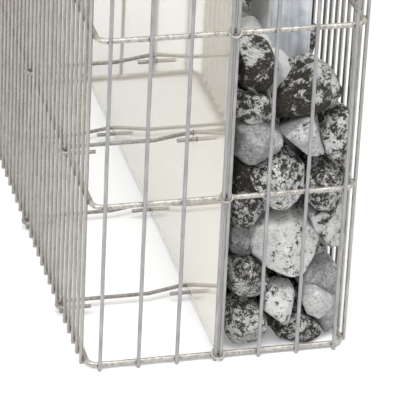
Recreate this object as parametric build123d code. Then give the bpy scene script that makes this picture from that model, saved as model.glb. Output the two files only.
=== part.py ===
from build123d import *
import math
import os

os.makedirs("parts", exist_ok=True)

# One bay of a gabion wall, in millimetres. +X runs across the wall's thickness, from the empty
# compartment to the stone-filled one, +Y runs along the wall, and +Z is up. The origin is on the
# ground below the middle of the bay.

# ---- mesh mats, welded from round wire -------------------------------------------------------
ROWS = 4                    # openings one above another
ROW_PITCH = 200.0           # level wire to level wire
END_PITCH = 44.0            # upright to upright on the two end faces
END_SPACES = 3              # openings across each half of an end face
SIDE_PITCH = 22.0           # upright to upright on the long sides
SIDE_SPACES = 30            # openings along a long side
UPRIGHT_WIRE = 4.5          # upright wires are welded to the outside of the level wires
LEVEL_WIRE = 6.0
WIRE_STUB = 5.0             # uprights run past the first and last level wire by this
BEND_RADIUS = 12.0          # of the level wires round a corner, to their centre line
CORNER_TO_SIDE_WIRE = 2.5   # from the end of the bend to the first upright of the side

# ---- separator sheet and the mesh behind it --------------------------------------------------
SHEET_THICKNESS = 1.5
SHEET_SIDE_ROOM = 0.2       # between the sheet and the uprights of the half mats
SHEET_LIFT = 7.0            # bottom edge above the lowest level wires
SHEET_END_INSET = 1.0       # behind the faces of the end uprights
NOTCH_DEPTH = 4.0           # in the sheet's two end edges, one at each ring
NOTCH_HEIGHT = 7.0
NOTCH_RISE = 5.0            # notch centre above the level wire

# ---- bent rod spacers ------------------------------------------------------------------------
ROD = 4.5
HOOK_RADIUS = 8.0           # to the rod's centre line
SIDE_HOOK_RETURN = 30.0     # free end, measured from the bend on the side mesh
INNER_HOOK_RETURN = 30.0    # free end, measured from the bend on the middle mesh
JOG_START = 57.0            # where the rod turns aside, from the middle mesh
JOG_END = 17.0
BEND_FACETS = 5             # flats in each half turn, the middle one against the upright
HOOK_ROOM = 0.7             # between the middle of a hook and its upright
SLOT_ROOM = 1.5             # the sheet's slots are this much wider and higher than the rod
SLIT_WIDTH = 2.0            # below the slot of each rod's long leg
SLIT_DROP = 15.0
EMPTY_SIDE_SPACERS = (5, 14, 23)    # side uprights, counted from the front, that hold a hook
STONE_SIDE_SPACERS = (10, 20)

# ---- rings that clip the half mats together --------------------------------------------------
RING_WIRE = 2.2
RING_ROOM = 1.15            # between the ring and the corners of the uprights inside it
RING_FACETS = 10
RING_TILT = 40.0            # the back of a ring rides up over the level wires
RING_BACK = 0.4             # ring centre behind the uprights' centre line
RING_RISE = 3.5             # ring centre above the level wire
RING_OPENING = 70.0         # degrees left open at the back

# ---- posts -----------------------------------------------------------------------------------
POST_WIDTH = 50.0
POST_DEPTH = 80.0
POST_WALL = 3.0
POST_CORNER = 6.0
POST_SETBACK = 85.0         # from the end of the wall to the post
POST_TO_SIDE = 34.0         # between the post and the level wires of the side mesh
POST_DROP = 10.0            # post top below the tips of the uprights

# ---- stone fill ------------------------------------------------------------------------------
FILL_HIGH = 395.0           # at the separator
FILL_LOW = 310.0            # at the outer side
FILL_CORNER = 9.0
TUNNEL_ROOM = 0.6           # round each spacer that the stones bury
ROOM = 0.3                  # clearance between pieces that rest on each other

# ---- derived places --------------------------------------------------------------------------
LEVELS = [WIRE_STUB + ROW_PITCH * row for row in range(ROWS + 1)]
HEIGHT = LEVELS[-1] + WIRE_STUB
WIRE_STEP = (UPRIGHT_WIRE + LEVEL_WIRE) / 2
LEVEL_INSET = UPRIGHT_WIRE / 2 + WIRE_STEP
BEND_END = LEVEL_INSET + BEND_RADIUS
FIRST_SIDE_WIRE = BEND_END + CORNER_TO_SIDE_WIRE
LENGTH = 2 * FIRST_SIDE_WIRE + SIDE_SPACES * SIDE_PITCH
FRONT = -LENGTH / 2
INNER_UPRIGHT = (SHEET_THICKNESS + UPRIGHT_WIRE) / 2 + SHEET_SIDE_ROOM
CORNER_UPRIGHT = INNER_UPRIGHT + END_SPACES * END_PITCH
SIDE_LEVEL_X = CORNER_UPRIGHT + BEND_RADIUS
SIDE_UPRIGHT_X = SIDE_LEVEL_X + WIRE_STEP
MIDDLE_LEVEL_X = SHEET_THICKNESS / 2 + ROOM + LEVEL_WIRE / 2
MIDDLE_UPRIGHT_X = MIDDLE_LEVEL_X + WIRE_STEP
MIDDLE_FIRST_WIRE = FIRST_SIDE_WIRE + SIDE_PITCH / 2
ROD_RISE = (LEVEL_WIRE + ROD) / 2 + ROOM
RING_RADIUS = math.hypot(INNER_UPRIGHT + UPRIGHT_WIRE / 2, UPRIGHT_WIRE / 2) + RING_WIRE / 2 + RING_ROOM
POST_X = SIDE_LEVEL_X - LEVEL_WIRE / 2 - POST_TO_SIDE - POST_WIDTH / 2


def bar(length, size, centre, axis):
    """A straight wire of the mats, along one axis."""
    sizes = {Axis.X: (length, size, size), Axis.Y: (size, length, size), Axis.Z: (size, size, length)}
    return Pos(*centre) * Box(*sizes[axis])


def fused(bars):
    """Wires welded into one mat."""
    return bars[0].fuse(*bars[1:])


def flat_mat(level_x, upright_x, first_wire, spaces, overhang):
    """A flat mat along the wall: level wires the whole length, uprights at the side pitch."""
    run = spaces * SIDE_PITCH + 2 * overhang
    bars = [bar(run, LEVEL_WIRE, (level_x, 0, z), Axis.Y) for z in LEVELS]
    for wire in range(spaces + 1):
        y = FRONT + first_wire + wire * SIDE_PITCH
        bars.append(bar(HEIGHT, UPRIGHT_WIRE, (upright_x, y, HEIGHT / 2), Axis.Z))
    return fused(bars)


def bent_level_wire(z):
    """A level wire of the right half of the front face, with its bend round the corner."""
    reach = INNER_UPRIGHT - UPRIGHT_WIRE / 2
    y = FRONT + LEVEL_INSET
    straight = bar(CORNER_UPRIGHT - reach, LEVEL_WIRE, ((reach + CORNER_UPRIGHT) / 2, y, z), Axis.X)
    section = Pos(CORNER_UPRIGHT, y, z) * Rot(0, 90, 0) * Rectangle(LEVEL_WIRE, LEVEL_WIRE)
    centre = Axis((CORNER_UPRIGHT, y + BEND_RADIUS, z), (0, 0, 1))
    return [straight, revolve(section, centre, 90)]


def half_end_mat():
    """The right half of the front face."""
    bars = []
    for z in LEVELS:
        bars += bent_level_wire(z)
    for wire in range(END_SPACES + 1):
        centre = (INNER_UPRIGHT + wire * END_PITCH, FRONT + UPRIGHT_WIRE / 2, HEIGHT / 2)
        bars.append(bar(HEIGHT, UPRIGHT_WIRE, centre, Axis.Z))
    return fused(bars)


def arc_points(centre, radius, start, turn, facets):
    """Points along an arc in the level plane, angles in degrees from +X."""
    angles = [math.radians(start + turn * step / facets) for step in range(facets + 1)]
    return [(centre[0] + radius * math.cos(a), centre[1] + radius * math.sin(a)) for a in angles]


def bent_rod(points, size):
    """A rod of square section along a flat route."""
    path = Polyline(*points)
    start = Plane(origin=path @ 0, x_dir=(0, 0, 1), z_dir=path % 0)
    return sweep(start * Rectangle(size, size), path=path, transition=Transition.RIGHT)


def hooked_rod(side_wire, side, z):
    """One spacer: a hook round a side upright, a jog, and a hook round a middle upright."""
    y_side = FRONT + FIRST_SIDE_WIRE + side_wire * SIDE_PITCH
    y_inner = y_side + SIDE_PITCH / 2
    flat = HOOK_RADIUS * math.cos(math.pi / 2 / BEND_FACETS)
    set_back = flat - (UPRIGHT_WIRE + ROD) / 2 - HOOK_ROOM
    side_bend = side * (SIDE_UPRIGHT_X - set_back)
    inner_bend = MIDDLE_UPRIGHT_X + side * set_back
    route = [(side_bend - side * SIDE_HOOK_RETURN, y_side - HOOK_RADIUS)]
    route += arc_points((side_bend, y_side), HOOK_RADIUS, -90, 180 * side, BEND_FACETS)
    route.append((MIDDLE_UPRIGHT_X + side * JOG_START, y_side + HOOK_RADIUS))
    route.append((MIDDLE_UPRIGHT_X + side * JOG_END, y_inner + HOOK_RADIUS))
    route += arc_points((inner_bend, y_inner), HOOK_RADIUS, 90, 180 * side, BEND_FACETS)
    route.append((inner_bend + side * INNER_HOOK_RETURN, y_inner - HOOK_RADIUS))
    return Pos(0, 0, z + ROD_RISE) * bent_rod(route, ROD)


def ring(z):
    """An open ring round the two middle uprights of the front face."""
    start = 90 + RING_OPENING / 2
    route = arc_points((0, 0), RING_RADIUS, start, 360 - RING_OPENING, RING_FACETS)
    centre = (0, FRONT + UPRIGHT_WIRE / 2 + RING_BACK, z + RING_RISE)
    return Pos(*centre) * Rot(RING_TILT, 0, 0) * bent_rod(route, RING_WIRE)


def post():
    """The front post, a hollow rectangular section standing on the ground."""
    outer = RectangleRounded(POST_WIDTH, POST_DEPTH, POST_CORNER)
    bore = RectangleRounded(POST_WIDTH - 2 * POST_WALL, POST_DEPTH - 2 * POST_WALL, POST_CORNER - POST_WALL)
    centre = (POST_X, FRONT + POST_SETBACK + POST_DEPTH / 2, 0)
    return Pos(*centre) * extrude(outer - bore, HEIGHT - POST_DROP)


def separator():
    """The sheet between the compartments, notched at the rings and slotted for the hooks."""
    bottom = LEVELS[0] + SHEET_LIFT
    top = LEVELS[-1]
    length = LENGTH - 2 * SHEET_END_INSET
    sheet = Pos(0, 0, (bottom + top) / 2) * Box(SHEET_THICKNESS, length, top - bottom)
    cuts = []
    for z in LEVELS:
        notch = Box(2 * SHEET_THICKNESS, 2 * NOTCH_DEPTH, NOTCH_HEIGHT)
        cuts.append(Pos(0, -length / 2, z + NOTCH_RISE) * notch)
        cuts.append(Pos(0, length / 2, z + NOTCH_RISE) * notch)
        slot = Box(2 * SHEET_THICKNESS, ROD + SLOT_ROOM, ROD + SLOT_ROOM)
        slit = Box(2 * SHEET_THICKNESS, SLIT_WIDTH, SLIT_DROP)
        for wire in EMPTY_SIDE_SPACERS:
            y = FRONT + MIDDLE_FIRST_WIRE + wire * SIDE_PITCH
            cuts.append(Pos(0, y - HOOK_RADIUS, z + ROD_RISE) * slot)
            cuts.append(Pos(0, y + HOOK_RADIUS, z + ROD_RISE) * slot)
            cuts.append(Pos(0, y + HOOK_RADIUS, z + ROD_RISE - SLIT_DROP / 2) * slit)
    return sheet.cut(*cuts)


def tunnel(side_wire, z):
    """The room round one buried spacer, through the whole fill."""
    y_side = FRONT + FIRST_SIDE_WIRE + side_wire * SIDE_PITCH
    near = y_side - HOOK_RADIUS - ROD / 2 - TUNNEL_ROOM
    far = y_side + SIDE_PITCH / 2 + HOOK_RADIUS + ROD / 2 + TUNNEL_ROOM
    block = Box(2 * SIDE_UPRIGHT_X, far - near, ROD + 2 * TUNNEL_ROOM)
    return Pos(SIDE_UPRIGHT_X, (near + far) / 2, z + ROD_RISE) * block


def stone_fill():
    """The heap of stones as one plain mass, round the posts and the spacers that it buries."""
    inner_x = MIDDLE_UPRIGHT_X + UPRIGHT_WIRE / 2 + HOOK_ROOM + ROD + ROOM
    outer_x = SIDE_LEVEL_X - LEVEL_WIRE / 2 - ROOM
    inset = LEVEL_INSET + LEVEL_WIRE / 2 + ROOM
    plan = Pos((inner_x + outer_x) / 2, 0) * Rectangle(outer_x - inner_x, LENGTH - 2 * inset)
    plan = fillet(plan.vertices().group_by(Axis.X)[-1], FILL_CORNER)
    slope = make_face(Polyline((inner_x, FILL_HIGH), (outer_x, FILL_HIGH), (outer_x, FILL_LOW), close=True))
    cuts = [extrude(Plane.XZ * slope, LENGTH / 2, both=True)]
    shaft = Box(POST_WIDTH + 2 * ROOM, POST_DEPTH + 2 * ROOM, 2 * HEIGHT)
    post_y = LENGTH / 2 - POST_SETBACK - POST_DEPTH / 2
    cuts.append(Pos(POST_X, -post_y, 0) * shaft)
    cuts.append(Pos(POST_X, post_y, 0) * shaft)
    for z in LEVELS:
        if z < FILL_LOW:
            cuts += [tunnel(wire, z) for wire in STONE_SIDE_SPACERS]
    return extrude(plan, FILL_HIGH).cut(*cuts)


front_right = half_end_mat()
side_overhang = FIRST_SIDE_WIRE - BEND_END
right_side = flat_mat(SIDE_LEVEL_X, SIDE_UPRIGHT_X, FIRST_SIDE_WIRE, SIDE_SPACES, side_overhang)
middle_overhang = MIDDLE_FIRST_WIRE - (LEVEL_INSET + LEVEL_WIRE / 2 + ROOM)
middle = flat_mat(MIDDLE_LEVEL_X, MIDDLE_UPRIGHT_X, MIDDLE_FIRST_WIRE, SIDE_SPACES - 1, middle_overhang)
front_rings = Compound([ring(z) for z in LEVELS])
front_post = post()

pieces = {
    "front_right_end_mesh": front_right,
    "front_left_end_mesh": mirror(front_right, Plane.YZ),
    "back_right_end_mesh": mirror(front_right, Plane.XZ),
    "back_left_end_mesh": mirror(mirror(front_right, Plane.XZ), Plane.YZ),
    "right_side_mesh": right_side,
    "left_side_mesh": mirror(right_side, Plane.YZ),
    "middle_mesh": middle,
    "separator_sheet": separator(),
    "front_ring_clips": front_rings,
    "back_ring_clips": mirror(front_rings, Plane.XZ),
    "front_post": front_post,
    "back_post": mirror(front_post, Plane.XZ),
    "stone_fill": stone_fill(),
}
for row, z in enumerate(LEVELS, start=1):
    empty_side = [hooked_rod(wire, -1, z) for wire in EMPTY_SIDE_SPACERS]
    stone_side = [hooked_rod(wire, 1, z) for wire in STONE_SIDE_SPACERS]
    pieces[f"empty_side_spacers_{row}"] = Compound(empty_side)
    pieces[f"stone_side_spacers_{row}"] = Compound(stone_side)

for name, piece in pieces.items():
    export_step(piece, f"parts/{name}.step")
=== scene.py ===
import math
import random
import bmesh
import bpy
import numpy as np
from mathutils import Matrix, Quaternion, Vector


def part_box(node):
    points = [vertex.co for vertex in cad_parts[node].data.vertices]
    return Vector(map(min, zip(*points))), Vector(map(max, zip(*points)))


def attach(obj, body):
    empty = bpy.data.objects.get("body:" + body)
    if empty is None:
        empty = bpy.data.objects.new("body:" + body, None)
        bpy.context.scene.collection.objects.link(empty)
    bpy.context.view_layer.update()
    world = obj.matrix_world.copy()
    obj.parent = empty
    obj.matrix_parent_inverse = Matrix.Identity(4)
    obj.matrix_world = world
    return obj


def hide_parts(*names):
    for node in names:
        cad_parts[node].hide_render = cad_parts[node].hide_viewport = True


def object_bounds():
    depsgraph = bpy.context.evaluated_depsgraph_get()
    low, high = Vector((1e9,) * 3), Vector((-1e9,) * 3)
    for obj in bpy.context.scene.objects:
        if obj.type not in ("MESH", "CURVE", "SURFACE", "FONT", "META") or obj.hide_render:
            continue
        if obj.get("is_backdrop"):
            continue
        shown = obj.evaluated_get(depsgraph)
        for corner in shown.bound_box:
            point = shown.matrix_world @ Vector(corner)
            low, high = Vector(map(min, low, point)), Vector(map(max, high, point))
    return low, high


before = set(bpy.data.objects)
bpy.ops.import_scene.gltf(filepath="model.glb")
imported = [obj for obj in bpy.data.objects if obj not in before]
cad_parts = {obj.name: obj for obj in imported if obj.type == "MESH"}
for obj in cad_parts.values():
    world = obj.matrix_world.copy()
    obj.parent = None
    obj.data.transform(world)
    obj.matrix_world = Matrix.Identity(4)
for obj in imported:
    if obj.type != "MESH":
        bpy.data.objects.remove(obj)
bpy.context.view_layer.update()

# ---- End mats ------------------------------------------------------------------------------------
# Each end face is closed by two half mats of hot-dip galvanised wire. Straight 4.5 mm uprights are
# spot welded to the outside of 6 mm level wires, and the level wires bend round the wall's corners.
MM = 0.001
WIRE_SIDES = 12
UPRIGHT_WIRE = 4.5 * MM
UPRIGHT_PIECES = 24
LEVEL_WIRE = 6 * MM
LEVEL_PIECES = 6
SHEARED_EDGE = 0.6 * MM
SAME_CORNER = 0.02 * MM
WELD_SIZE = (3.3 * MM, 1.7 * MM, 2.6 * MM)
END_PITCH = 44 * MM
END_UPRIGHTS = 4
ROW_PITCH = 200 * MM
ROWS = 4
WIRE_STUB = 5 * MM
BEND_RADIUS = 12 * MM
BEND_STEPS = 8
WAVER_LENGTH = 110 * MM
END_WOBBLE = 0.45 * MM
END_WAVER = 1
LEVELS = [WIRE_STUB + ROW_PITCH * row for row in range(ROWS + 1)]
end_low, end_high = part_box("front_right_end_mesh")
HEIGHT = end_high.z
FRONT = end_low.y
CORNER_X = end_high.x - LEVEL_WIRE / 2 - BEND_RADIUS
UPRIGHT_Y = FRONT + UPRIGHT_WIRE / 2
LEVEL_Y = FRONT + UPRIGHT_WIRE + LEVEL_WIRE / 2


def hex_colour(code):
    """An sRGB hex value as the linear colour that a shader takes."""
    channels = [int(code[i:i + 2], 16) / 255 for i in (1, 3, 5)]
    linear = [c / 12.92 if c <= 0.04045 else ((c + 0.055) / 1.055) ** 2.4 for c in channels]
    return (*linear, 1.0)


def add_node(tree, kind, settings=None, inputs=None):
    """Adds a node with its settings, and with its sockets set to values or linked to sockets."""
    node = tree.nodes.new(kind)
    for name, value in (settings or {}).items():
        if name == "stops":
            ramp = node.color_ramp.elements
            while len(ramp) < len(value):
                ramp.new(0.5)
            for element, (position, colour) in zip(ramp, value):
                element.position = position
                element.color = colour
        else:
            setattr(node, name, value)
    for name, value in (inputs or {}).items():
        if isinstance(value, bpy.types.NodeSocket):
            tree.links.new(value, node.inputs[name])
        else:
            node.inputs[name].default_value = value
    return node


def new_material(name):
    """An empty node material, with its tree."""
    material = bpy.data.materials.new(name)
    material.use_nodes = True
    material.node_tree.nodes.clear()
    return material, material.node_tree


def grey(value):
    """A ramp stop's colour as a plain factor."""
    return (value, value, value, 1)


def pattern_scale(width):
    """A pattern's scale, to a whole number, from the width of one of its cells in metres."""
    return float(round(1 / width))


def galvanised(name, pale, deep, stain, stain_share, metallic, roughness, along=(1, 1, 1)):
    """Hot-dip galvanised wire: a dull zinc skin in pale and deep patches, with brown flux stains
    here and there, and slightly lumpy to the touch. Its pale colour, deep colour and stains are
    given. A small share in along draws the pattern out along that axis."""
    material, tree = new_material(name)
    whole = add_node(tree, "ShaderNodeTexCoord").outputs["Object"]
    place = add_node(tree, "ShaderNodeMapping", {}, {"Vector": whole, "Scale": along}).outputs[0]
    patches = add_node(tree, "ShaderNodeTexNoise", {}, {
        "Vector": place, "Scale": pattern_scale(4.35 * MM), "Detail": 5.0, "Roughness": 0.6})
    mottle = add_node(tree, "ShaderNodeValToRGB", {"stops": [(0.35, grey(0)), (0.65, grey(1))]}, {
        "Fac": patches.outputs["Fac"]})
    zinc = add_node(tree, "ShaderNodeMix", {"data_type": "RGBA"}, {
        0: mottle.outputs["Color"], 6: hex_colour(deep), 7: hex_colour(pale)})
    blots = add_node(tree, "ShaderNodeTexNoise", {}, {
        "Vector": place, "Scale": pattern_scale(6.67 * MM), "Detail": 7.0, "Roughness": 0.75,
        "Distortion": 0.4})
    edge = 0.72 - 0.3 * stain_share
    stops = [(edge, grey(0)), (edge + 0.06, grey(0.85))]
    spots = add_node(tree, "ShaderNodeValToRGB", {"stops": stops}, {"Fac": blots.outputs["Fac"]})
    stained = add_node(tree, "ShaderNodeMix", {"data_type": "RGBA"}, {
        0: spots.outputs["Color"], 6: zinc.outputs[2], 7: hex_colour(stain)})
    dullness = add_node(tree, "ShaderNodeMapRange", {}, {
        "Value": patches.outputs["Fac"], "To Min": roughness - 0.1, "To Max": roughness + 0.14})
    lumps = add_node(tree, "ShaderNodeBump", {}, {
        "Height": blots.outputs["Fac"], "Strength": 0.1, "Distance": 0.4 * MM})
    skin = add_node(tree, "ShaderNodeBsdfPrincipled", {}, {
        "Base Color": stained.outputs[2], "Metallic": metallic, "Roughness": dullness.outputs[0],
        "Normal": lumps.outputs[0]})
    add_node(tree, "ShaderNodeOutputMaterial", {}, {"Surface": skin.outputs[0]})
    return material


# The uprights are plain grey, with a zinc that ran down them and so has long narrow patches. The
# level wires are brighter and more stained, and the heat of welding leaves dull brown spots.
RUN_DOWN = (1, 1, 0.2)
upright_zinc = galvanised(
    "hot_dip_galvanised_upright_wire", "#A09F9F", "#88888A", "#67635D", 0.15, 0.45, 0.34, RUN_DOWN)
level_zinc = galvanised(
    "hot_dip_galvanised_level_wire", "#B8B5AF", "#8A867F", "#564D43", 0.33, 0.4, 0.28)
weld_zinc = galvanised("galvanised_spot_weld", "#6E665C", "#4A433B", "#332B23", 0.5, 0.15, 0.6)


def clear_selection():
    """Object mode with nothing selected."""
    if bpy.context.object and bpy.context.object.mode != "OBJECT":
        bpy.ops.object.mode_set(mode="OBJECT")
    bpy.ops.object.select_all(action="DESELECT")


def take(piece):
    """Makes a piece the only one selected, and active."""
    clear_selection()
    piece.select_set(True)
    bpy.context.view_layer.objects.active = piece


def apply_place(piece):
    """Moves an object's place and turn into its mesh."""
    take(piece)
    bpy.ops.object.transform_apply(location=True, rotation=True, scale=True)


def select_by(piece, kind, wanted):
    """In edit mode, selects the faces or the edges that wanted accepts."""
    bpy.ops.mesh.select_mode(type=kind)
    mesh = bmesh.from_edit_mesh(piece.data)
    for element in mesh.faces if kind == "FACE" else mesh.edges:
        element.select_set(wanted(element))
    bmesh.update_edit_mesh(piece.data)


def smooth(piece, degrees=40):
    """Smooth shading, with the edges sharper than the angle kept crisp."""
    take(piece)
    bpy.ops.object.shade_smooth_by_angle(angle=math.radians(degrees))


def straight_wire(name, diameter, length, pieces, material):
    """A straight wire up from the origin, in short pieces, its sheared ends slightly rounded."""
    clear_selection()
    bpy.ops.mesh.primitive_cylinder_add(vertices=WIRE_SIDES, radius=diameter / 2, depth=length,
                                        end_fill_type="NGON", location=(0, 0, length / 2))
    wire = bpy.context.object
    wire.name = name
    apply_place(wire)
    bpy.ops.object.mode_set(mode="EDIT")
    select_by(wire, "FACE", lambda face: abs(face.normal.z) > 0.9)
    bpy.ops.mesh.bevel(offset=SHEARED_EDGE, segments=2, affect="EDGES")
    select_by(wire, "EDGE", lambda edge: abs(edge.verts[0].co.z - edge.verts[1].co.z) > length / 2)
    bpy.ops.mesh.subdivide(number_cuts=pieces - 1)
    bpy.ops.object.mode_set(mode="OBJECT")
    wire.data.materials.append(material)
    smooth(wire)
    return wire


def bent_wire(name, diameter, start, heading, moves, material):
    """A bent wire: a round face is drawn along straight runs, and spun round each bend.
    A run is the vector to go, a bend is its centre, its turn in degrees and its steps."""
    clear_selection()
    turn = Vector(heading).to_track_quat("Z", "Y").to_euler()
    bpy.ops.mesh.primitive_circle_add(vertices=WIRE_SIDES, radius=diameter / 2, fill_type="NGON",
                                      location=start, rotation=turn)
    wire = bpy.context.object
    wire.name = name
    apply_place(wire)
    bpy.ops.object.mode_set(mode="EDIT")
    bpy.ops.mesh.select_mode(type="FACE")
    bpy.ops.mesh.select_all(action="SELECT")
    for move in moves:
        if move[0] == "run":
            bpy.ops.mesh.extrude_region_move(TRANSFORM_OT_translate={"value": move[1]})
        else:
            centre, degrees, steps = move[1:]
            bpy.ops.mesh.spin(
                steps=steps, angle=-math.radians(degrees), center=centre, axis=(0, 0, 1))
    bpy.ops.mesh.select_all(action="SELECT")
    bpy.ops.mesh.remove_doubles(threshold=SAME_CORNER)
    bpy.ops.mesh.normals_make_consistent(inside=False)
    bpy.ops.object.mode_set(mode="OBJECT")
    wire.data.materials.append(material)
    smooth(wire)
    return wire


def copy_of(source, shift, turn=None):
    """A copy with its own mesh, turned about the origin and then shifted."""
    piece = source.copy()
    piece.data = source.data.copy()
    bpy.context.collection.objects.link(piece)
    matrix = Matrix.Translation(shift)
    if turn:
        matrix = matrix @ turn
    piece.data.transform(matrix)
    return piece


def joined(parts, name):
    """Joins parts into one piece."""
    clear_selection()
    for part in parts:
        part.select_set(True)
    bpy.context.view_layer.objects.active = parts[0]
    bpy.ops.object.join()
    parts[0].name = name
    parts[0].data.name = name
    return parts[0]


def mirrored(source, name, axis):
    """A copy mirrored in the wall's middle plane, 0 for across and 1 for along."""
    factors = [-1 if i == axis else 1 for i in range(3)]
    piece = copy_of(source, (0, 0, 0), Matrix.Diagonal((*factors, 1)))
    piece.data.flip_normals()
    piece.name = name
    piece.data.name = name
    return piece


def drop(*pieces):
    """Removes patterns that only served to be copied."""
    for piece in pieces:
        bpy.data.objects.remove(piece)


def waver(piece, direction, size, seed):
    """Lets drawn wire run slightly out of true, by a soft noise along one axis. The mesh is
    shifted for that moment by the seed, so that each piece meets another part of the noise."""
    texture = bpy.data.textures.new(f"waver_{piece.name}", "CLOUDS")
    texture.noise_scale = WAVER_LENGTH
    texture.noise_depth = 1
    noise_shift = Matrix.Translation((seed, 2 * seed, -seed))
    piece.data.transform(noise_shift)
    take(piece)
    modifier = piece.modifiers.new("waver", "DISPLACE")
    modifier.texture = texture
    modifier.texture_coords = "LOCAL"
    modifier.direction = direction
    modifier.strength = 2 * size
    modifier.mid_level = 0.5
    bpy.ops.object.modifier_apply(modifier="waver")
    piece.data.transform(noise_shift.inverted())


def ride(piece, slot, *nodes):
    """The piece moves with the wall, and stands for those nodes of the frame."""
    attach(piece, "root")
    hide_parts(*nodes)


def weld():
    """A spot weld: a small flattened nugget where two wires have sunk into each other."""
    clear_selection()
    bpy.ops.mesh.primitive_uv_sphere_add(segments=10, ring_count=6, radius=1)
    nugget = bpy.context.object
    nugget.name = "weld_pattern"
    bpy.ops.object.mode_set(mode="EDIT")
    bpy.ops.mesh.select_all(action="SELECT")
    bpy.ops.transform.resize(value=WELD_SIZE)
    bpy.ops.object.mode_set(mode="OBJECT")
    nugget.data.materials.append(weld_zinc)
    smooth(nugget, 60)
    return nugget


upright = straight_wire("upright_pattern", UPRIGHT_WIRE, HEIGHT, UPRIGHT_PIECES, upright_zinc)
nugget = weld()
contact_y = FRONT + UPRIGHT_WIRE
inner_x = end_low.x + UPRIGHT_WIRE / 2
level_piece = (CORNER_X - end_low.x) / LEVEL_PIECES
parts = []
for z in LEVELS:
    moves = [("run", (level_piece, 0, 0))] * LEVEL_PIECES
    moves.append(("bend", (CORNER_X, LEVEL_Y + BEND_RADIUS, z), 90, BEND_STEPS))
    start = (end_low.x, LEVEL_Y, z)
    parts.append(bent_wire("level_wire", LEVEL_WIRE, start, (1, 0, 0), moves, level_zinc))
for wire in range(END_UPRIGHTS):
    x = inner_x + wire * END_PITCH
    parts.append(copy_of(upright, (x, UPRIGHT_Y, 0)))
    parts += [copy_of(nugget, (x, contact_y, z)) for z in LEVELS]
front_right = joined(parts, "front_right_end_mat")
front_left = mirrored(front_right, "front_left_end_mat", 0)
back_right = mirrored(front_right, "back_right_end_mat", 1)
back_left = mirrored(front_left, "back_left_end_mat", 1)
end_mats = {front_right: "front_right", front_left: "front_left",
            back_right: "back_right", back_left: "back_left"}
for mat, place in end_mats.items():
    waver(mat, "X", END_WOBBLE, END_WAVER)
    ride(mat, "galvanised_wire", f"{place}_end_mesh")

# ---- Side mats and the mat behind the sheet ------------------------------------------------------
# Three flat mats of the same wire run along the wall, two outside and one just behind the sheet.
# Their uprights stand only 22 mm apart, so that small stones can't fall through.
SIDE_PITCH = 22 * MM
SIDE_START = 22 * MM
SIDE_LEVEL_PIECES = 40
SIDE_WOBBLE = 0.9 * MM
SIDE_WAVER = 5
# The side wires are smoother and glint more. The lowest level wire of the mat behind the sheet is
# painted nearly white: painted light, which hides that wire where it shows in shade below the
# sheet.
side_upright_zinc = galvanised(
    "hot_dip_galvanised_side_wire", "#A9A6A1", "#96938E", "#6B655D", 0.1, 0.8, 0.26, RUN_DOWN)
side_level_zinc = galvanised(
    "hot_dip_galvanised_side_level_wire", "#A8A49D", "#807B75", "#544D44", 0.3, 0.5, 0.3)
painted_light_level_zinc = galvanised(
    "hot_dip_galvanised_painted_light_level_wire", "#F0EEEA", "#E2DFDA", "#B4AEA4", 0.1, 0.2, 0.4)


def flat_mat(name, node, first_wire, upright_x, level_x, lowest_skin):
    """A mat along the wall, as long as its node: level wires in one length, and the uprights
    welded to the right of them, the first one at first_wire."""
    low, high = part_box(node)
    length = high.y - low.y
    lowest = straight_wire("lowest_pattern", LEVEL_WIRE, length, SIDE_LEVEL_PIECES, lowest_skin)
    level = straight_wire("level_pattern", LEVEL_WIRE, length, SIDE_LEVEL_PIECES, side_level_zinc)
    side_upright = straight_wire(
        "side_upright_pattern", UPRIGHT_WIRE, HEIGHT, UPRIGHT_PIECES, side_upright_zinc)
    lay = Matrix.Rotation(math.radians(-90), 4, "X")
    parts = [copy_of(lowest, (level_x, low.y, LEVELS[0]), lay)]
    parts += [copy_of(level, (level_x, low.y, z), lay) for z in LEVELS[1:]]
    wires = round((length - 2 * (first_wire - low.y)) / SIDE_PITCH) + 1
    sideways = Matrix.Rotation(math.radians(90), 4, "Z")
    contact_x = upright_x - UPRIGHT_WIRE / 2
    for wire in range(wires):
        y = first_wire + wire * SIDE_PITCH
        parts.append(copy_of(side_upright, (upright_x, y, 0)))
        parts += [copy_of(nugget, (contact_x, y, z), sideways) for z in LEVELS]
    drop(lowest, level, side_upright)
    return joined(parts, name)


side_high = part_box("right_side_mesh")[1]
first_wire = FRONT + SIDE_START
upright_x = side_high.x - UPRIGHT_WIRE / 2
level_x = upright_x - (UPRIGHT_WIRE + LEVEL_WIRE) / 2
right_side = flat_mat(
    "right_side_mat", "right_side_mesh", first_wire, upright_x, level_x, side_level_zinc)
left_side = mirrored(right_side, "left_side_mat", 0)
middle_low, middle_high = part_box("middle_mesh")
middle_upright_x = middle_high.x - UPRIGHT_WIRE / 2
middle_level_x = middle_low.x + LEVEL_WIRE / 2
# The mat behind the sheet takes the painted-light zinc for its lowest level wire.
middle = flat_mat(
    "middle_mat", "middle_mesh", first_wire + SIDE_PITCH / 2, middle_upright_x, middle_level_x,
    painted_light_level_zinc)
flat_mats = {right_side: "right_side", left_side: "left_side", middle: "middle"}
for seed, (mat, place) in enumerate(flat_mats.items(), SIDE_WAVER):
    waver(mat, "Y", SIDE_WOBBLE, seed)
    ride(mat, "galvanised_wire", f"{place}_mesh")
drop(upright, nugget)

# ---- Ring clips ----------------------------------------------------------------------------------
# At each level an open ring of 2.2 mm galvanised wire is closed by pliers round the two uprights
# where the half mats meet. Its back rides up over the ends of the level wires.
RING_WIRE = 2.2 * MM
RING_STEPS = 24
RING_TILT = 40
RING_BACK = 0.4 * MM
RING_RISE = 3.5 * MM
RING_OPENING = 70
RING_ROOM = 0.15 * MM
ring_radius = inner_x + UPRIGHT_WIRE / 2 + RING_ROOM + RING_WIRE / 2
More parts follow.
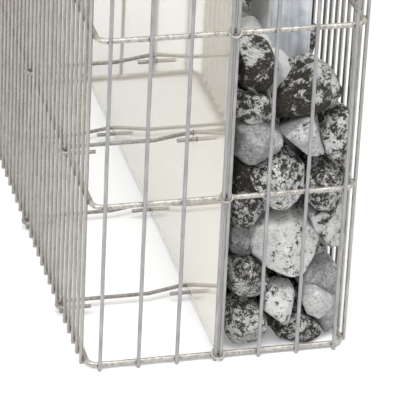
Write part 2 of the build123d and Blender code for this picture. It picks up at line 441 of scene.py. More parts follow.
# The thin zinc on the clips has dulled, and is blotched with brown where the pliers scuffed it.
clip_zinc = galvanised("galvanised_clip_wire", "#B0AAA2", "#7F766C", "#4C4035", 0.5, 0.2, 0.4)
start_angle = math.radians(90 + RING_OPENING / 2)
ring_start = (ring_radius * math.cos(start_angle), ring_radius * math.sin(start_angle), 0)
ring_heading = (-math.sin(start_angle), math.cos(start_angle), 0)
ring_moves = [("bend", (0, 0, 0), 360 - RING_OPENING, RING_STEPS)]
ring = bent_wire("ring_pattern", RING_WIRE, ring_start, ring_heading, ring_moves, clip_zinc)
tilt = Matrix.Rotation(math.radians(RING_TILT), 4, "X")
rings = [copy_of(ring, (0, UPRIGHT_Y + RING_BACK, z + RING_RISE), tilt) for z in LEVELS]
drop(ring)
front_clips = joined(rings, "front_clips")
back_clips = mirrored(front_clips, "back_clips", 1)
for clips, place in ((front_clips, "front"), (back_clips, "back")):
    waver(clips, "X", END_WOBBLE, END_WAVER)
    ride(clips, "clip_wire", f"{place}_ring_clips")

# ---- Separator sheet -----------------------------------------------------------------------------
# A 1.5 mm sheet of cream rigid PVC stands between the two halves. It is extruded between polished
# rolls, and sawn and notched to size. Its node has that shape, so it only gets its material.
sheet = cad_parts["separator_sheet"]
# The polish makes it mirror the empty half, with a slight ripple. The cream tint has faint clouds.
# The sawn edges are dull, and also painted dark grey as painted shade.
pvc, tree = new_material("polished_cream_rigid_pvc")
place = add_node(tree, "ShaderNodeTexCoord").outputs["Object"]
clouds = add_node(tree, "ShaderNodeTexNoise", {}, {
    "Vector": place, "Scale": pattern_scale(143 * MM), "Detail": 2.0})
tint = add_node(tree, "ShaderNodeMix", {"data_type": "RGBA"}, {
    0: clouds.outputs["Fac"], 6: hex_colour("#BEB8A7"), 7: hex_colour("#C6C0AF")})
facing = add_node(tree, "ShaderNodeNewGeometry").outputs["Normal"]
sideways = add_node(tree, "ShaderNodeSeparateXYZ", {}, {0: facing}).outputs["X"]
flat_on = add_node(tree, "ShaderNodeMath", {"operation": "ABSOLUTE"}, {0: sideways})
sawn_edge_with_painted_shade = add_node(tree, "ShaderNodeMath", {"operation": "LESS_THAN"}, {0: flat_on.outputs[0], 1: 0.5})
# Painted shade: the edge faces are mixed to dark grey #7D7A73 instead of the sheet's cream.
tint_and_edge_shade = add_node(tree, "ShaderNodeMix", {"data_type": "RGBA"}, {
    0: sawn_edge_with_painted_shade.outputs[0], 6: tint.outputs[2], 7: hex_colour("#7D7A73")})
dullness = add_node(tree, "ShaderNodeMapRange", {}, {
    "Value": sawn_edge_with_painted_shade.outputs[0], "To Min": 0.05, "To Max": 0.7})
polish = add_node(tree, "ShaderNodeMapRange", {}, {
    "Value": sawn_edge_with_painted_shade.outputs[0], "To Min": 0.8, "To Max": 0.0})
ripple = add_node(tree, "ShaderNodeTexNoise", {}, {
    "Vector": place, "Scale": pattern_scale(45 * MM), "Detail": 1.0})
wave = add_node(tree, "ShaderNodeBump", {}, {
    "Height": ripple.outputs["Fac"], "Strength": 0.04, "Distance": 0.4 * MM})
# Both indices are above PVC's 1.53, to match how clearly the sheet mirrors.
skin = add_node(tree, "ShaderNodeBsdfPrincipled", {}, {
    "Base Color": tint_and_edge_shade.outputs[2], "Roughness": dullness.outputs[0], "IOR": 2.3,
    "Normal": wave.outputs[0], "Coat Weight": polish.outputs[0], "Coat Roughness": 0.04,
    "Coat IOR": 2.0, "Coat Normal": wave.outputs[0]})
add_node(tree, "ShaderNodeOutputMaterial", {}, {"Surface": skin.outputs[0]})
sheet.data.materials.clear()
sheet.data.materials.append(pvc)

# ---- Spacers -------------------------------------------------------------------------------------
# Bright zinc-coated 4.5 mm rods hold the mats at their distance. Each end is bent into a long hook
# round an upright, and a jog brings the rod from a side upright to the next one of the middle mat.
ROD = 4.5 * MM
HOOK_RADIUS = 8 * MM
HOOK_RETURN = 30 * MM
JOG_START = 57 * MM
JOG_END = 17 * MM
HOOK_SET_BACK = 2.9 * MM
HOOK_STEPS = 12
EMPTY_SIDE, STONE_SIDE = -1, 1
HOOKED_WIRES = {EMPTY_SIDE: (5, 14, 23), STONE_SIDE: (10, 20)}
# Bright zinc is thinner and more even than hot-dip zinc, and has weathered to a dull grey.
rod_zinc = galvanised("bright_zinc_coated_rod", "#9E9B96", "#736F69", "#4F4942", 0.2, 0.3, 0.33)


def spacer(side, wire, z):
    """One rod, from its free end at the side mat to its free end at the middle mat."""
    y = first_wire + wire * SIDE_PITCH
    y_inner = y + SIDE_PITCH / 2
    bend = side * (upright_x - HOOK_SET_BACK)
    inner_bend = middle_upright_x + side * HOOK_SET_BACK
    jog_start = middle_upright_x + side * JOG_START
    jog_end = middle_upright_x + side * JOG_END
    moves = [
        ("run", (side * HOOK_RETURN, 0, 0)),
        ("bend", (bend, y, z), 180 * side, HOOK_STEPS),
        ("run", (jog_start - bend, 0, 0)),
        ("run", (jog_end - jog_start, SIDE_PITCH / 2, 0)),
        ("run", (inner_bend - jog_end, 0, 0)),
        ("bend", (inner_bend, y_inner, z), 180 * side, HOOK_STEPS),
        ("run", (side * HOOK_RETURN, 0, 0)),
    ]
    start = (bend - side * HOOK_RETURN, y - HOOK_RADIUS, z)
    return bent_wire("spacer", ROD, start, (side, 0, 0), moves, rod_zinc)


for side, place in ((EMPTY_SIDE, "empty_side"), (STONE_SIDE, "stone_side")):
    for row in range(1, len(LEVELS) + 1):
        low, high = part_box(f"{place}_spacers_{row}")
        rods = [spacer(side, wire, (low.z + high.z) / 2) for wire in HOOKED_WIRES[side]]
        ride(joined(rods, f"{place}_rods_{row}"), "spacer_wire", f"{place}_spacers_{row}")

# ---- Posts ---------------------------------------------------------------------------------------
# Two hot-dip galvanised 80 x 50 mm rectangular hollow sections stand in the stones. The zinc ran
# down them as they left the bath, which leaves long pale and bluish streaks. The side toward the
# sheet is painted nearly white, as painted light for the light that it lacks beside the sheet.
post_zinc, tree = new_material("hot_dip_galvanised_hollow_section")
place = add_node(tree, "ShaderNodeTexCoord").outputs["Object"]
drawn_out = add_node(tree, "ShaderNodeMapping", {}, {"Vector": place, "Scale": (1.0, 1.0, 0.12)})
streaks = add_node(tree, "ShaderNodeTexNoise", {}, {
    "Vector": drawn_out.outputs[0], "Scale": pattern_scale(10.5 * MM), "Detail": 5.0,
    "Roughness": 0.55})
streak_ramp = add_node(tree, "ShaderNodeValToRGB", {"stops": [(0.36, grey(0)), (0.66, grey(1))]}, {
    "Fac": streaks.outputs["Fac"]})
spangle = add_node(tree, "ShaderNodeTexVoronoi", {}, {
    "Vector": place, "Scale": pattern_scale(8.3 * MM)})
zinc = add_node(tree, "ShaderNodeMix", {"data_type": "RGBA"}, {
    0: streak_ramp.outputs["Color"], 6: hex_colour("#A2A8AE"), 7: hex_colour("#CFD3D8")})
facing = add_node(tree, "ShaderNodeNewGeometry").outputs["Normal"]
sideways = add_node(tree, "ShaderNodeSeparateXYZ", {}, {0: facing}).outputs["X"]
# Painted light: the side facing the sheet is mixed toward near-white #F2F4F6, not a zinc colour.
painted_light_side = add_node(tree, "ShaderNodeMapRange", {}, {
    "Value": sideways, "From Min": -0.5, "From Max": -0.9, "To Max": 0.85})
lit_side_paled = add_node(tree, "ShaderNodeMix", {"data_type": "RGBA"}, {
    0: painted_light_side.outputs[0], 6: zinc.outputs[2], 7: hex_colour("#F2F4F6")})
flake = add_node(tree, "ShaderNodeRGBToBW", {}, {0: spangle.outputs["Color"]})
flowers = add_node(tree, "ShaderNodeMix", {"data_type": "RGBA", "blend_type": "OVERLAY"}, {
    0: 0.15, 6: lit_side_paled.outputs[2], 7: flake.outputs[0]})
dullness = add_node(tree, "ShaderNodeMapRange", {}, {
    "Value": streaks.outputs["Fac"], "To Min": 0.34, "To Max": 0.5})
runs = add_node(tree, "ShaderNodeBump", {}, {
    "Height": streaks.outputs["Fac"], "Strength": 0.2, "Distance": 0.5 * MM})
skin = add_node(tree, "ShaderNodeBsdfPrincipled", {}, {
    "Base Color": flowers.outputs[2], "Metallic": 0.1, "Roughness": dullness.outputs[0],
    "Normal": runs.outputs[0]})
add_node(tree, "ShaderNodeOutputMaterial", {}, {"Surface": skin.outputs[0]})
for name in ("front_post", "back_post"):
    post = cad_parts[name]
    post.data.materials.clear()
    post.data.materials.append(post_zinc)

# ---- Stones --------------------------------------------------------------------------------------
# The stone half holds tumbled marble cobbles 35 to 90 mm across, as poured and then pushed
# together by hand. They are sound rounded blocks with worn flats, white to grey, with black and
# brown patches.
GRINDING_SPARE = 1.36
WORN_WIDTH = 9 * MM
LUMP_WIDTH = 26 * MM
LUMP_SHARE = 0.1
PIT_WIDTH = 7 * MM
PIT_DEPTH = 0.9 * MM
WIRE_ROOM = 0.5 * MM
GROUND_ROOM = 1 * MM
HEAP_RISE = 2 * MM
GOLDEN_ANGLE = math.pi * (3 - math.sqrt(5))
fill_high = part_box("stone_fill")[1]
STONE_LOW = (middle_high.x + WIRE_ROOM, FRONT + UPRIGHT_WIRE + WIRE_ROOM, GROUND_ROOM)
STONE_HIGH = (side_high.x - UPRIGHT_WIRE - WIRE_ROOM, -STONE_LOW[1], fill_high.z + HEAP_RISE)


def marble():
    """Tumbled marble: a matt white to grey body, dark mineral patches 13 mm across with ragged
    edges, and 3 mm grains of each colour in the other. Attributes say how dark and how grey a
    stone is, and how fine its patches are."""
    material, tree = new_material("tumbled_black_and_white_marble")
    place = add_node(tree, "ShaderNodeTexCoord").outputs["Object"]
    dark = add_node(tree, "ShaderNodeAttribute", {"attribute_name": "dark_share"}).outputs["Fac"]
    dull = add_node(tree, "ShaderNodeAttribute", {"attribute_name": "grey_share"}).outputs["Fac"]
    fine = add_node(tree, "ShaderNodeAttribute", {"attribute_name": "fineness"}).outputs["Fac"]
    spread = add_node(tree, "ShaderNodeVectorMath", {"operation": "SCALE"}, {
        0: place, "Scale": fine})
    clouds = add_node(tree, "ShaderNodeTexNoise", {}, {
        "Vector": place, "Scale": pattern_scale(16.7 * MM), "Detail": 8.0, "Roughness": 0.72})
    grain = add_node(tree, "ShaderNodeTexNoise", {}, {
        "Vector": place, "Scale": pattern_scale(2.78 * MM), "Detail": 6.0, "Roughness": 0.75})
    speckle = add_node(tree, "ShaderNodeMath", {"operation": "MULTIPLY_ADD"}, {
        0: grain.outputs["Fac"], 1: 2.2, 2: -1.95})
    shade = add_node(tree, "ShaderNodeMath", {"operation": "MULTIPLY_ADD"}, {
        0: clouds.outputs["Fac"], 1: 2.0, 2: speckle.outputs[0]})
    greyness = add_node(tree, "ShaderNodeMath", {"operation": "ADD", "use_clamp": True}, {
        0: shade.outputs[0], 1: dull})
    body = add_node(tree, "ShaderNodeMix", {"data_type": "RGBA"}, {
        0: greyness.outputs[0], 6: hex_colour("#C6C6C4"), 7: hex_colour("#6D6E70")})
    patches = add_node(tree, "ShaderNodeTexNoise", {}, {
        "Vector": spread.outputs[0], "Scale": pattern_scale(13.3 * MM), "Detail": 10.0,
        "Roughness": 0.8, "Distortion": 0.2})
    level = add_node(tree, "ShaderNodeMath", {"operation": "MULTIPLY_ADD"}, {
        0: dark, 1: 0.26, 2: -0.64})
    fleck = add_node(tree, "ShaderNodeMath", {"operation": "SUBTRACT"}, {
        0: grain.outputs["Fac"], 1: 0.5})
    fleck_share = add_node(tree, "ShaderNodeMath", {"operation": "MULTIPLY_ADD"}, {
        0: fine, 1: 0.3, 2: -0.2})
    flecked = add_node(tree, "ShaderNodeMath", {"operation": "MULTIPLY_ADD"}, {
        0: fleck.outputs[0], 1: fleck_share.outputs[0], 2: level.outputs[0]})
    above = add_node(tree, "ShaderNodeMath", {"operation": "ADD"}, {
        0: patches.outputs["Fac"], 1: flecked.outputs[0]})
    patch = add_node(tree, "ShaderNodeMapRange", {}, {
        "Value": above.outputs[0], "From Min": -0.012, "From Max": 0.014})
    stops = [
        (0.4, hex_colour("#151413")), (0.56, hex_colour("#353129")), (0.72, hex_colour("#7D776D"))]
    brown = add_node(tree, "ShaderNodeValToRGB", {"stops": stops}, {"Fac": grain.outputs["Fac"]})
    colour = add_node(tree, "ShaderNodeMix", {"data_type": "RGBA"}, {
        0: patch.outputs[0], 6: body.outputs[2], 7: brown.outputs["Color"]})
    pits = add_node(tree, "ShaderNodeBump", {}, {
        "Height": grain.outputs["Fac"], "Strength": 0.7, "Distance": 1.0 * MM})
    relief = add_node(tree, "ShaderNodeBump", {"invert": True}, {
        "Height": patch.outputs[0], "Strength": 0.4, "Distance": 0.8 * MM,
        "Normal": pits.outputs[0]})
    skin = add_node(tree, "ShaderNodeBsdfPrincipled", {}, {
        "Base Color": colour.outputs[2], "Roughness": 0.75, "Specular IOR Level": 0.3,
        "Normal": relief.outputs[0]})
    add_node(tree, "ShaderNodeOutputMaterial", {}, {"Surface": skin.outputs[0]})
    return material


stone_skin = marble()


def support(half, direction):
    """How far an ellipsoid with those half sizes reaches in a direction."""
    return math.sqrt(sum((h * d) ** 2 for h, d in zip(half, direction)))


def reach(piece):
    """The lowest and the highest corner of a mesh."""
    corners = np.empty(3 * len(piece.data.vertices))
    piece.data.vertices.foreach_get("co", corners)
    corners = corners.reshape(-1, 3)
    return Vector(corners.min(axis=0)), Vector(corners.max(axis=0))


def cobble(centre, half, flats, turn, grain, dark_side, looks):
    """A stone: a ball drawn out to its size, flats ground on it, then worn round and lumpy, and
    nudged off the wires and the ground. Each flat has a point on it and the way that it faces.
    The dark patches gather toward the stone's dark side, as strongly as that vector is long."""
    clear_selection()
    bpy.ops.mesh.primitive_ico_sphere_add(subdivisions=3, radius=1)
    piece = bpy.context.object
    bpy.ops.object.mode_set(mode="EDIT")
    bpy.ops.mesh.select_all(action="SELECT")
    bpy.ops.transform.resize(value=[h * GRINDING_SPARE for h in half])
    for point, normal in flats:
        bpy.ops.mesh.select_all(action="SELECT")
        bpy.ops.mesh.bisect(plane_co=point, plane_no=normal, use_fill=True, clear_outer=True)
    bpy.ops.object.mode_set(mode="OBJECT")
    piece.data.transform(Matrix.Translation(centre) @ turn)
    steps = [("REMESH", {"mode": "VOXEL", "voxel_size": grain}),
             ("SMOOTH", {"factor": 0.5, "iterations": round(WORN_WIDTH / grain)})]
    for width, depth in ((LUMP_WIDTH, LUMP_SHARE * min(half)), (PIT_WIDTH, PIT_DEPTH)):
        texture = bpy.data.textures.new("worn", "CLOUDS")
        texture.noise_scale = width
        settings = {"texture": texture, "texture_coords": "LOCAL", "strength": depth}
        steps.append(("DISPLACE", settings))
    for kind, settings in steps:
        modifier = piece.modifiers.new("worn", kind)
        for name, value in settings.items():
            setattr(modifier, name, value)
        bpy.ops.object.modifier_apply(modifier="worn")
    low, high = reach(piece)
    nudge = [max(least - lowest, 0) - max(highest - most, 0)
             for lowest, highest, least, most in zip(low, high, STONE_LOW, STONE_HIGH)]
    piece.data.transform(Matrix.Translation(nudge))
    piece.data.materials.append(stone_skin)
    bpy.ops.object.shade_smooth()
    for name, value in looks.items():
        shares = piece.data.attributes.new(name, "FLOAT", "POINT")
        values = [value] * len(piece.data.vertices)
        if name == "dark_share":
            values = [value + (v.co - centre).dot(dark_side) / max(half)
                      for v in piece.data.vertices]
        shares.data.foreach_set("value", values)
    return piece


# The stones against the front face, each by its place. First come how far its middle lies behind
# the wires and its depth, both in mm. Then come how dark and how grey it is, how fine its patches
# are, the angle of its dark side as seen from the front, and how strongly the patches gather
# there. Last comes its outline in mm, across from the middle of the wall and up from the ground.
FRONT_STONES = {
    "lower left, mottled": (25, 46, 0.46, 0.15, 1.8, 100, 0.12, [
        (13, 42), (23, 57), (49, 52), (65, 25), (62, 6), (55, 1), (24, 2), (14, 18)]),
    "bottom, dark": (30, 46, 0.62, 0.25, 1.8, 260, 0.10, [
        (73, 14), (76, 2), (126, 0), (130, 10), (104, 32), (85, 30)]),
    "tall white": (22, 38, 0.32, 0.00, 1.6, 200, 0.10, [
        (58, 70), (66, 77), (88, 75), (93, 66), (89, 27), (79, 25), (58, 43)]),
    "pale, right": (22, 36, 0.10, 0.20, 1.3, 0, 0.05, [
        (101, 54), (103, 72), (114, 75), (136, 57), (139, 47), (134, 36), (121, 29), (109, 34)]),
    "pale, corner": (42, 40, 0.05, 0.45, 1.0, 0, 0.05, [
        (118, 24), (128, 8), (140, 3), (148, 9), (149, 50), (134, 50), (120, 40)]),
    "grey, upper right of it": (40, 44, 0.16, 0.55, 1.4, 300, 0.10, [
        (100, 84), (110, 95), (139, 95), (147, 86), (151, 68), (148, 54), (131, 50), (112, 56),
        (101, 68)]),
    "round dark": (26, 46, 0.56, 0.35, 2.0, 60, 0.14, [
        (12, 100), (21, 111), (32, 115), (43, 112), (54, 101), (61, 84), (56, 70), (42, 62),
        (28, 63), (16, 73)]),
    "big egg": (34, 66, 0.29, 0.00, 1.6, 300, 0.06, [
        (36, 134), (37, 148), (46, 159), (60, 165), (84, 165), (113, 146), (120, 132), (113, 106),
        (100, 88), (80, 86), (60, 94), (44, 110)]),
    "light with patches": (36, 52, 0.42, 0.20, 0.8, 200, 0.15, [
        (104, 162), (135, 170), (148, 167), (148, 128), (138, 118), (124, 122), (110, 140)]),
    "speckled, behind": (62, 36, 0.45, 0.30, 1.8, 0, 0.05, [
        (112, 90), (120, 106), (134, 106), (142, 90), (135, 76), (118, 76)]),
    "grey, left": (42, 42, 0.32, 0.60, 1.4, 270, 0.10, [
        (12, 144), (22, 150), (38, 148), (46, 130), (40, 112), (26, 108), (12, 116)]),
    "mottled, low left": (34, 44, 0.60, 0.30, 1.8, 150, 0.12, [
        (12, 186), (31, 192), (52, 188), (54, 174), (22, 154), (12, 156)]),
    "dark, left": (42, 46, 0.76, 0.30, 1.0, 200, 0.10, [
        (12, 238), (26, 236), (54, 194), (50, 180), (26, 178), (13, 186)]),
    "six-sided": (30, 54, 0.50, 0.00, 1.8, 90, 0.10, [
        (31, 222), (55, 242), (70, 246), (84, 238), (97, 222), (98, 204), (88, 188), (72, 180),
        (54, 184), (40, 200)]),
    "middle, right": (42, 54, 0.54, 0.30, 1.6, 120, 0.12, [
        (101, 214), (108, 223), (120, 225), (148, 204), (150, 188), (142, 172), (120, 167),
        (104, 171), (99, 192)]),
    "tall, right": (38, 54, 0.52, 0.05, 1.3, 20, 0.10, [
        (114, 262), (122, 276), (138, 284), (149, 282), (148, 226), (137, 223), (124, 232)]),
    "three-sided": (24, 44, 0.26, 0.30, 1.2, 40, 0.10, [
        (66, 267), (96, 288), (104, 284), (117, 243), (112, 239), (95, 241)]),
    "smooth grey": (28, 50, 0.05, 0.62, 1.0, 240, 0.05, [
        (12, 280), (26, 288), (42, 286), (65, 267), (61, 252), (36, 233), (22, 233), (13, 244)]),
    "wedge": (38, 58, 0.74, 0.25, 0.7, 255, 0.32, [
        (60, 300), (70, 318), (98, 342), (110, 343), (122, 334), (135, 314), (133, 299), (118, 290),
        (96, 286), (76, 276), (64, 276)]),
    "brown, left": (34, 50, 0.55, 0.25, 1.3, 120, 0.15, [
        (12, 322), (48, 314), (58, 300), (58, 284), (42, 278), (24, 280), (12, 288)]),
    "dark, upper left": (40, 52, 0.76, 0.05, 0.7, 290, 0.25, [
        (13, 371), (52, 358), (59, 346), (56, 328), (44, 314), (28, 316), (13, 326)]),
    # The two white stones behind have a grey share below zero: painted light, whiter than their own
    # tone, for the light that falls on them from above.
    "white, behind": (84, 50, 0.05, -0.20, 1.0, 0, 0.05, [
        (20, 366), (40, 372), (56, 364), (66, 350), (66, 334), (44, 322), (22, 334)]),
    "white wedge, behind": (66, 44, 0.06, -0.20, 1.0, 0, 0.05, [
        (62, 344), (70, 346), (92, 322), (92, 304), (74, 292), (58, 300), (56, 324)]),
    "dark flat, behind": (58, 40, 0.85, 0.35, 1.0, 90, 0.05, [
        (102, 272), (120, 276), (144, 276), (148, 262), (134, 250), (110, 250)]),
    "filler under the six-sided": (50, 34, 0.80, 0.50, 1.0, 0, 0.05, [
        (80, 188), (92, 194), (106, 186), (108, 172), (94, 164), (80, 172)]),
    "filler at the bottom": (50, 36, 0.80, 0.50, 1.0, 0, 0.05, [
        (52, 30), (62, 44), (78, 44), (86, 28), (78, 10), (58, 8)]),
    "filler beside the egg": (50, 36, 0.80, 0.50, 1.0, 0, 0.05, [
        (72, 92), (84, 100), (100, 96), (104, 82), (92, 70), (74, 74)]),
    "filler left of the egg": (48, 30, 0.80, 0.50, 1.0, 0, 0.05, [
        (44, 120), (54, 124), (66, 110), (60, 98), (46, 100)]),
}
FRONT_GRAIN = 2.2 * MM
BEHIND_WIRES = 8 * MM
FACE_FLATS = 3
FACE_SPREAD = 0.6
FACE_DEPTHS = (0.84, 0.96)
EDGE_LEANS = (-0.3, 0.15)
chance = random.Random(4)
cobbles = []
middles_in_front = []
for behind, depth, dark, grey_share, fineness, angle, gather, outline in FRONT_STONES.values():
    across, up = [x for x, z in outline], [z for x, z in outline]
    corner_low, corner_high = Vector((min(across), 0, min(up))), Vector((max(across), 0, max(up)))
    centre = ((corner_low + corner_high) / 2 + Vector((0, behind, 0))) * MM
    centre += Vector((0, FRONT + BEHIND_WIRES, 0))
    size = (corner_high.x - corner_low.x, depth, corner_high.z - corner_low.z)
    half = [length / 2 * MM for length in size]
    flats = []
    for start, end in zip(outline, outline[1:] + outline[:1]):
        middle_x, middle_z = [(a + b) / 2 * MM for a, b in zip(start, end)]
        point = Vector((middle_x - centre.x, 0, middle_z - centre.z))
        normal = Vector((end[1] - start[1], 0, start[0] - end[0])).normalized()
        normal *= math.copysign(1, normal.dot(point))
        normal.y = chance.uniform(*EDGE_LEANS)
        flats.append((point, normal))
    for number in range(FACE_FLATS):
        round_angle = number * GOLDEN_ANGLE + chance.uniform(0, 2)
        sideways = [FACE_SPREAD * math.cos(round_angle), FACE_SPREAD * math.sin(round_angle)]
        normal = Vector((sideways[0], -1, sideways[1])).normalized()
        flats.append((normal * support(half, normal) * chance.uniform(*FACE_DEPTHS), normal))
    looks = {"dark_share": dark, "grey_share": grey_share, "fineness": fineness}
    dark_side = gather * Vector((math.cos(math.radians(angle)), 0, math.sin(math.radians(angle))))
    cobbles.append(cobble(centre, half, flats, Matrix.Identity(4), FRONT_GRAIN, dark_side, looks))
    middles_in_front.append((centre, sum(half) / 3))
front_stones = joined(cobbles, "front_stones")
ride(front_stones, "stones", "stone_fill")

# The rest of the heap: stones are strewn through it and pushed apart until they lie snugly beside
# each other, the wires, the posts and the buried rods. Meanwhile they sink a little at each step,
# and its top slopes down from the sheet, most of all toward the front.
HEAP_STONES = 108
HEAP_RADII = (24 * MM, 35 * MM)
HEAP_STRETCHES = (0.88, 1.2)
HEAP_FLATS = 11
HEAP_DEPTHS = (0.84, 1.0)
HEAP_GRAIN = 4 * MM
HEAP_GATHER = 0.12
FRONT_LAYER = 38 * MM
SLOPE_DROP = 85 * MM
FRONT_DIP = 50 * MM
FRONT_DIP_LENGTH = 260 * MM
STREWN_FROM = [30 * MM, 80 * MM, 30 * MM]
STREWN_TO = 30 * MM
PUSHES = 500
PUSH_SHARE = 0.6
SINK = 0.1 * MM
BURIED_LEVELS = LEVELS[:2]
ROD_ROOM = 3 * MM
ROD_RISE = 5 * MM
ROD_PUSH_SHARE = 0.5
SUNK_INTO_SIDES = 0.97
SUNK_INTO_TOP = 0.8
FULLNESS = 1.03
NO_DISTANCE = 1e-9
heap_random = np.random.default_rng(12)
radii = heap_random.uniform(*HEAP_RADII, HEAP_STONES)
low_corner, high_corner = np.array(STONE_LOW), np.array(STONE_HIGH)
middles = heap_random.uniform(low_corner + STREWN_FROM, high_corner - STREWN_TO, (HEAP_STONES, 3))
fixed = np.array([list(centre) for centre, _ in middles_in_front])
fixed_radii = np.array([radius for _, radius in middles_in_front])
layer_low = low_corner + [0, FRONT_LAYER, 0]
post_boxes = [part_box("front_post"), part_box("back_post")]
rod_lines = [(first_wire + wire * SIDE_PITCH + SIDE_PITCH / 4, z)
             for wire in HOOKED_WIRES[STONE_SIDE] for z in BURIED_LEVELS]
for _ in range(PUSHES):
    every = np.vstack([middles, fixed])
    every_radius = np.concatenate([radii, fixed_radii])
    apart = middles[:, None, :] - every[None, :, :]
    distance = np.linalg.norm(apart, axis=2) + NO_DISTANCE
    overlap = radii[:, None] + every_radius[None, :] - distance
    overlap[np.arange(HEAP_STONES), np.arange(HEAP_STONES)] = 0
    own_share = np.where(np.arange(len(every)) < HEAP_STONES, 0.5, 1.0)
    push_apart = np.clip(overlap, 0, None) * own_share / distance
    middles += PUSH_SHARE * (apart * push_apart[:, :, None]).sum(axis=1)
    middles[:, 2] -= SINK
    for low, high in post_boxes:
        near = np.clip(middles[:, :2], [low.x, low.y], [high.x, high.y])
        away = middles[:, :2] - near
        gap = np.linalg.norm(away, axis=1)
        inside = (gap < radii) & (gap > 0.001 * MM)
        middles[inside, :2] += away[inside] * ((radii[inside] - gap[inside]) / gap[inside])[:, None]
    for y, z in rod_lines:
        away = middles[:, 1:] - np.array([y, z + ROD_RISE])
        gap = np.linalg.norm(away, axis=1) + NO_DISTANCE
        missing = radii + ROD_ROOM - gap
        inside = missing > 0
        push = ROD_PUSH_SHARE * away[inside]
        middles[inside, 1:] += push * (missing[inside] / gap[inside])[:, None]
    across = (middles[:, 0] - low_corner[0]) / (high_corner[0] - low_corner[0])
    dip = np.clip(1 - (middles[:, 1] - low_corner[1]) / FRONT_DIP_LENGTH, 0, 1)
    top = high_corner[2] - (SLOPE_DROP + FRONT_DIP * dip) * across
    kept = radii[:, None] * SUNK_INTO_SIDES
    middles = np.clip(middles, layer_low + kept, high_corner - kept)
    middles[:, 2] = np.minimum(middles[:, 2], top - SUNK_INTO_TOP * radii)

# Each kind of stone is how dark and how grey it is.
KINDS = [(0.1, 0.05), (0.15, 0.5), (0.5, 0.1), (0.6, 0.3), (0.8, 0.3)]
cobbles = []
for stone_middle, radius in zip(middles, radii):
    stretch = [chance.uniform(*HEAP_STRETCHES) for _ in range(3)]
    mean = (stretch[0] * stretch[1] * stretch[2]) ** (1 / 3)
    half = [FULLNESS * radius * s / mean for s in stretch]
    turn = Quaternion([chance.gauss(0, 1) for _ in range(4)]).normalized().to_matrix().to_4x4()
    flats = []
    for number in range(HEAP_FLATS):
        rise = 1 - (2 * number + 1) / HEAP_FLATS
        round_angle = number * GOLDEN_ANGLE + chance.uniform(-0.4, 0.4)
        level_part = math.sqrt(1 - rise * rise)
        normal = Vector((
            level_part * math.cos(round_angle), level_part * math.sin(round_angle), rise))
        flats.append((normal * support(half, normal) * chance.uniform(*HEAP_DEPTHS), normal))
    dark, grey_share = chance.choice(KINDS)
    looks = {"dark_share": dark, "grey_share": grey_share, "fineness": chance.uniform(0.7, 1.4)}
    dark_side = HEAP_GATHER * Vector([chance.gauss(0, 1) for _ in range(3)]).normalized()
    cobbles.append(cobble(Vector(stone_middle), half, flats, turn, HEAP_GRAIN, dark_side, looks))
for name, end in (("near_heap_stones", -1), ("far_heap_stones", 1)):
    heap_half = [piece for piece, spot in zip(cobbles, middles) if end * spot[1] > 0]
    ride(joined(heap_half, name), "stones", "stone_fill")

# ---- Ground, lamps and camera --------------------------------------------------------------------
# The wall stands on a pale seamless floor under large soft lamps, as in a studio. The floor keeps
# the wall's shadow near the wall, and grows plain white away from it.
FLOOR_SIZE = 60
FLOOR_DROP = 0.5 * MM
SHADOW_REACH = (0.4, 2.0)
LEAST_WHITE = 0.25
PLAIN_WHITE = hex_colour("#FFFFFF")
clear_selection()
bpy.ops.mesh.primitive_plane_add(size=FLOOR_SIZE, location=(0, 0, -FLOOR_DROP))
floor = bpy.context.object
floor.name = "studio_floor"
floor_paint, tree = new_material("matt_white_studio_floor")
path = add_node(tree, "ShaderNodeLightPath")
matt = add_node(tree, "ShaderNodeBsdfDiffuse", {}, {"Color": hex_colour("#F1F1F1")})
white = add_node(tree, "ShaderNodeEmission", {}, {"Color": PLAIN_WHITE, "Strength": 1.0})
seen = add_node(tree, "ShaderNodeMath", {"operation": "MAXIMUM"}, {
    0: path.outputs["Is Camera Ray"], 1: path.outputs["Is Glossy Ray"]})
place = add_node(tree, "ShaderNodeTexCoord").outputs["Object"]
away = add_node(tree, "ShaderNodeVectorMath", {"operation": "LENGTH"}, {0: place})
whiteness = add_node(tree, "ShaderNodeMapRange", {}, {
    "Value": away.outputs["Value"], "From Min": SHADOW_REACH[0], "From Max": SHADOW_REACH[1],
    "To Min": LEAST_WHITE, "To Max": 1.0})
white_share = add_node(tree, "ShaderNodeMath", {"operation": "MULTIPLY"}, {
    0: seen.outputs[0], 1: whiteness.outputs[0]})
mixed = add_node(tree, "ShaderNodeMixShader", {}, {
    0: white_share.outputs[0], 1: matt.outputs[0], 2: white.outputs[0]})
add_node(tree, "ShaderNodeOutputMaterial", {}, {"Surface": mixed.outputs[0]})
floor.data.materials.append(floor_paint)
floor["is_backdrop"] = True

# The room is white to the eye, in reflections and through clear things, and lights the wall less.
world = bpy.data.worlds.new("studio")
bpy.context.scene.world = world
world.use_nodes = True
tree = world.node_tree
tree.nodes.clear()
path = add_node(tree, "ShaderNodeLightPath")
seen = add_node(tree, "ShaderNodeMath", {"operation": "MAXIMUM"}, {
    0: path.outputs["Is Camera Ray"], 1: path.outputs["Is Glossy Ray"]})
seen_through = add_node(tree, "ShaderNodeMath", {"operation": "MAXIMUM"}, {
    0: seen.outputs[0], 1: path.outputs["Is Transmission Ray"]})
plain = add_node(tree, "ShaderNodeBackground", {}, {"Color": PLAIN_WHITE, "Strength": 0.6})
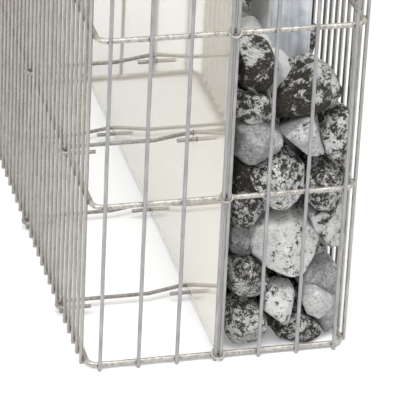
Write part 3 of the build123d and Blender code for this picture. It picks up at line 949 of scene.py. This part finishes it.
backdrop = add_node(tree, "ShaderNodeBackground", {}, {"Color": PLAIN_WHITE, "Strength": 1.0})
mixed = add_node(tree, "ShaderNodeMixShader", {}, {
    0: seen_through.outputs[0], 1: plain.outputs[0], 2: backdrop.outputs[0]})
add_node(tree, "ShaderNodeOutputWorld", {}, {"Surface": mixed.outputs[0]})


def softbox(name, place, target, size, power):
    """A large square lamp, aimed at the wall."""
    data = bpy.data.lights.new(name, "AREA")
    data.shape = "SQUARE"
    data.size = size
    data.energy = power
    lamp = bpy.data.objects.new(name, data)
    bpy.context.scene.collection.objects.link(lamp)
    lamp.location = place
    lamp.rotation_euler = (Vector(target) - Vector(place)).to_track_quat("-Z", "Y").to_euler()


softbox("key_softbox", (-2.5, -1.4, 3.0), (0, 0, 0.3), 1.8, 82)
softbox("front_softbox", (-0.2, -2.2, 3.6), (0, -0.2, 0.3), 1.6, 50)
softbox("right_softbox", (1.6, -0.9, 3.2), (0, 0, 0.3), 1.8, 45)
softbox("top_softbox", (-0.25, -0.9, 4.0), (0, -0.2, 0.3), 1.2, 65)

CAMERA_PLACE = Vector((-0.831, -3.289, 1.891))
CAMERA_YAW = 15.41
CAMERA_PITCH = 29.05
CAMERA_ROLL = 2.98
CAMERA_LENS = 277.6
CAMERA_SENSOR = 36
CAMERA_REACH = 50
yaw, pitch = math.radians(CAMERA_YAW), math.radians(CAMERA_PITCH)
heading = Vector((
    math.sin(yaw) * math.cos(pitch), math.cos(yaw) * math.cos(pitch), -math.sin(pitch)))
camera_data = bpy.data.cameras.new("camera")
camera_data.lens = CAMERA_LENS
camera_data.sensor_width = CAMERA_SENSOR
camera_data.clip_end = CAMERA_REACH
camera = bpy.data.objects.new("camera", camera_data)
bpy.context.scene.collection.objects.link(camera)
camera.location = CAMERA_PLACE
camera.rotation_mode = "QUATERNION"
roll = Quaternion((0, 0, 1), math.radians(CAMERA_ROLL))
camera.rotation_quaternion = heading.to_track_quat("-Z", "Y") @ roll
bpy.context.scene.camera = camera
bpy.context.scene.view_settings.view_transform = "Standard"

low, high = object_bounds()
